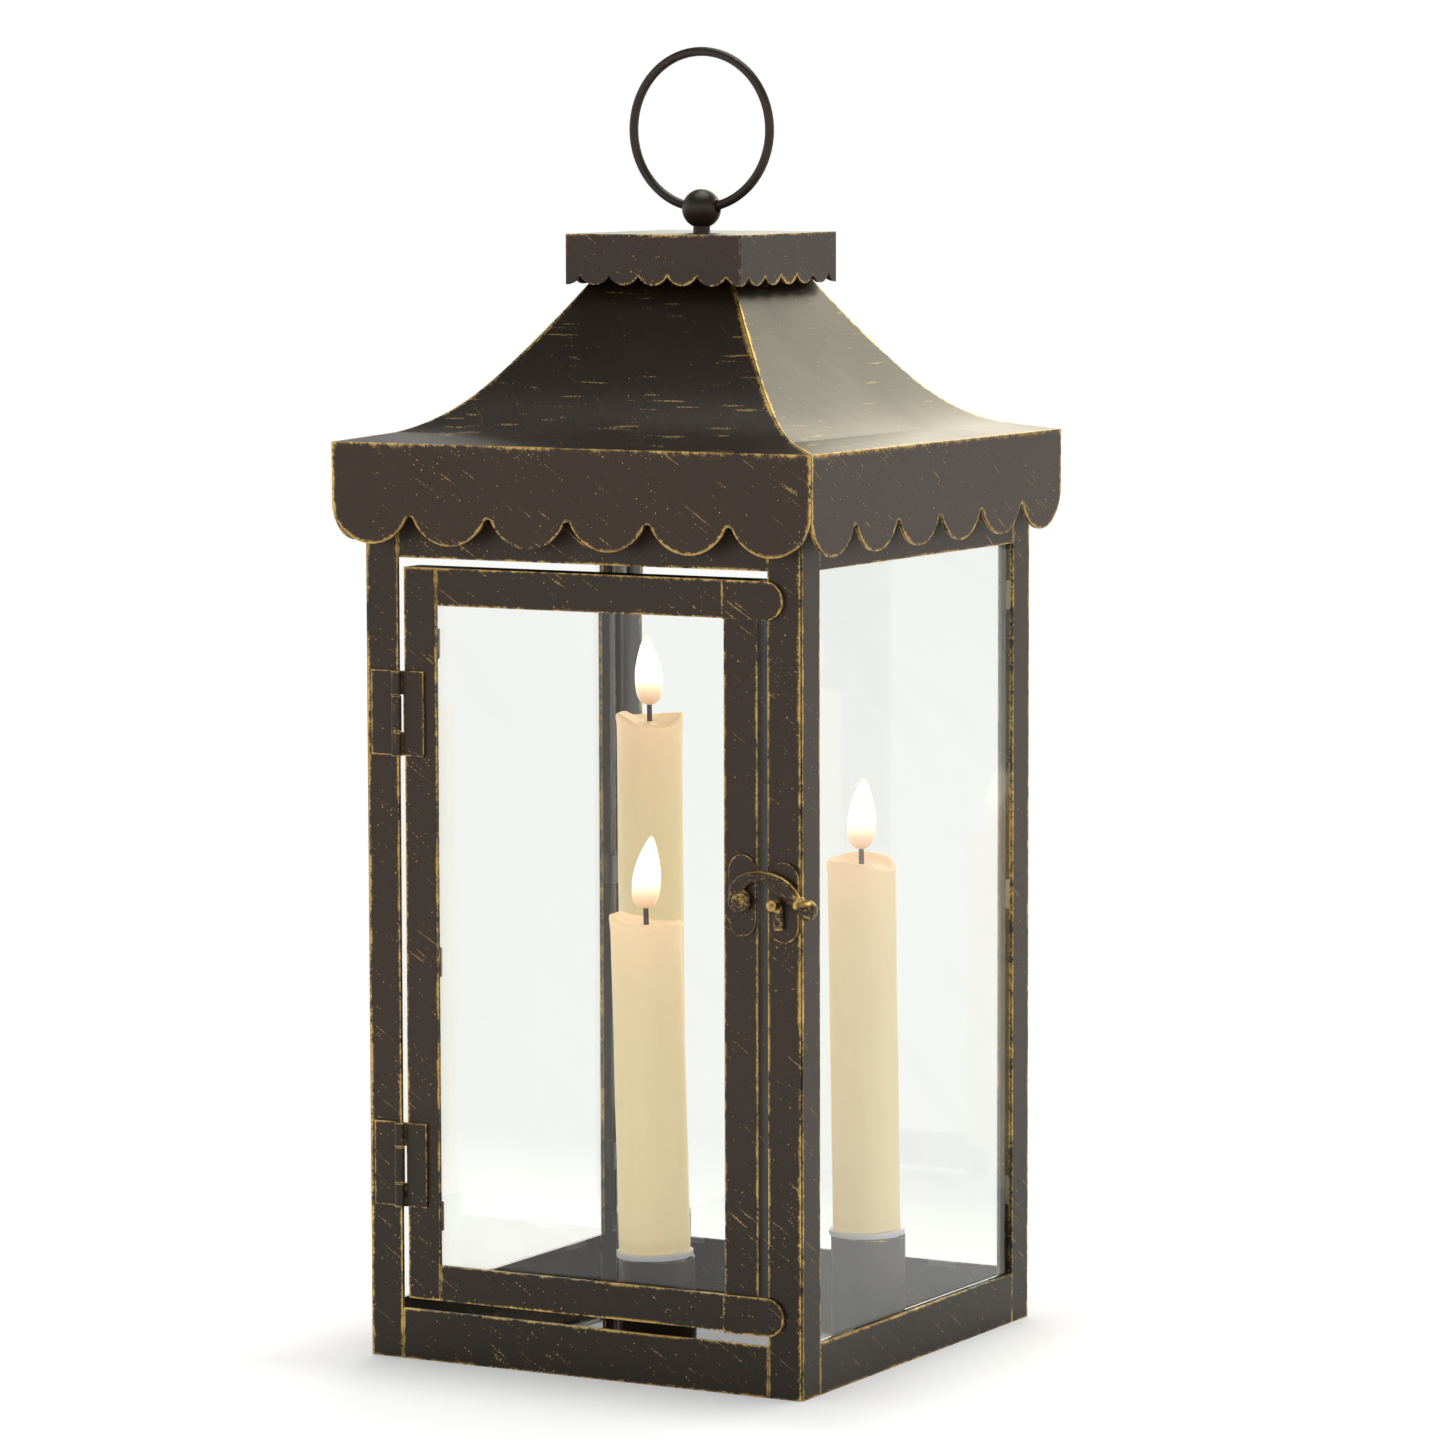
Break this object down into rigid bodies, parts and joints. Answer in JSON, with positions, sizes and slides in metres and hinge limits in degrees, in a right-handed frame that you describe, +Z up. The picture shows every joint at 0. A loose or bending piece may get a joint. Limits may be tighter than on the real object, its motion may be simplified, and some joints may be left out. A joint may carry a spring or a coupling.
{
  "type": "candle lantern",
  "caption": "Square metal and glass lantern with a hinged door, hook latch, flared scalloped roof, carry ring and battery candles on floor cups.",
  "frame": {"origin": "centre of the base, on the surface the lantern stands on", "axes": "+Z up; the door faces -Y, its latch is on the +X side and its hinges on the -X side"},
  "size_m": [0.1646, 0.1646, 0.3987],
  "materials": {
    "bronze_frame": "satin dark bronze paint rubbed to gold along its edges",
    "bronze_roof": "satin near-black bronze paint, streaked, rubbed to gold at the hips",
    "bronze_floor": "gloss dark bronze paint",
    "bronze_cups": "satin dark bronze paint",
    "bronze_fittings": "satin dark bronze paint, rubbed to gold",
    "rubbed_gold_fittings": "bronze paint mostly rubbed through to gold",
    "bronze_ring": "satin dark bronze paint with gold streaks",
    "plain_steel": "plain",
    "clear_glass": "clear, gloss",
    "ivory_wax": "wax coat, soft satin",
    "white_plastic": "satin moulded",
    "cell_jacket": "gloss plain jacket",
    "dark_wick": "matte",
    "led_flame": "frosted, lit from inside"
  },
  "bodies": {
    "lantern": {"base_plate": "bronze_floor", "base_rail_front": "bronze_frame", "base_rail_left": "bronze_frame", "base_rail_rear": "bronze_frame", "base_rail_right": "bronze_frame", "cup_back": "bronze_cups", "cup_front": "bronze_cups", "cup_right": "bronze_cups", "finial_ball": "bronze_ring", "finial_nut": "plain_steel", "finial_stud": "plain_steel", "hinge_pins": "bronze_fittings", "hinge_post_leaves": "bronze_fittings", "keeper_peg": "rubbed_gold_fittings", "keeper_plate": "bronze_fittings", "pane_clips": "plain_steel", "pane_left": "clear_glass", "pane_rear": "clear_glass", "pane_right": "clear_glass", "post_front_left": "bronze_frame", "post_front_right": "bronze_frame", "post_rear_left": "bronze_frame", "post_rear_right": "bronze_frame", "roof_cap": "bronze_roof", "roof_panel_front": "bronze_roof", "roof_panel_left": "bronze_roof", "roof_panel_rear": "bronze_roof", "roof_panel_right": "bronze_roof", "top_rail_front": "bronze_frame", "top_rail_left": "bronze_frame", "top_rail_rear": "bronze_frame", "top_rail_right": "bronze_frame"},
    "door": {"door_stile_hinge_side": "bronze_frame", "door_stile_latch_side": "bronze_frame", "door_rail_top": "bronze_frame", "door_rail_bottom": "bronze_frame", "door_pane": "clear_glass", "door_pane_clips": "plain_steel", "door_stop_tabs": "bronze_frame", "hinge_door_leaves": "bronze_fittings", "latch_plate": "bronze_fittings", "latch_rivet": "rubbed_gold_fittings"},
    "latch": {"latch_hook": "bronze_fittings", "latch_knob": "rubbed_gold_fittings"},
    "carry_ring": {"carry_ring": "bronze_ring"},
    "front_candle": {"front_candle_barrel": "white_plastic", "front_candle_cells": "cell_jacket", "front_candle_wax": "ivory_wax", "front_candle_wick": "dark_wick", "front_candle_flame": "led_flame"},
    "right_candle": {"right_candle_barrel": "white_plastic", "right_candle_cells": "cell_jacket", "right_candle_wax": "ivory_wax", "right_candle_wick": "dark_wick", "right_candle_flame": "led_flame"},
    "back_candle": {"back_candle_barrel": "white_plastic", "back_candle_cells": "cell_jacket", "back_candle_wax": "ivory_wax", "back_candle_wick": "dark_wick", "back_candle_flame": "led_flame"}
  },
  "joints": [
    {"name": "door_hinge", "type": "hinge", "parent": "lantern", "child": "door", "pos_m": [-0.0633, -0.0768, 0.13], "axis": [0, 0, -1], "range_deg": [0, 178]},
    {"name": "latch_pivot", "type": "hinge", "parent": "door", "child": "latch", "pos_m": [0.05555, -0.0774, 0.1483], "axis": [0, -1, 0], "range_deg": [0, 100]},
    {"name": "ring_flop", "type": "hinge", "parent": "lantern", "child": "carry_ring", "pos_m": [0, 0, 0.35015], "axis": [1, 0, 0], "range_deg": [-101, 101]},
    {"name": "front_candle_lift", "type": "slide", "parent": "lantern", "child": "front_candle", "axis": [0, 0, 1], "range_m": [0, 0.031]},
    {"name": "right_candle_lift", "type": "slide", "parent": "lantern", "child": "right_candle", "axis": [0, 0, 1], "range_m": [0, 0.031]},
    {"name": "back_candle_lift", "type": "slide", "parent": "lantern", "child": "back_candle", "axis": [0, 0, 1], "range_m": [0, 0.031]}
  ]
}
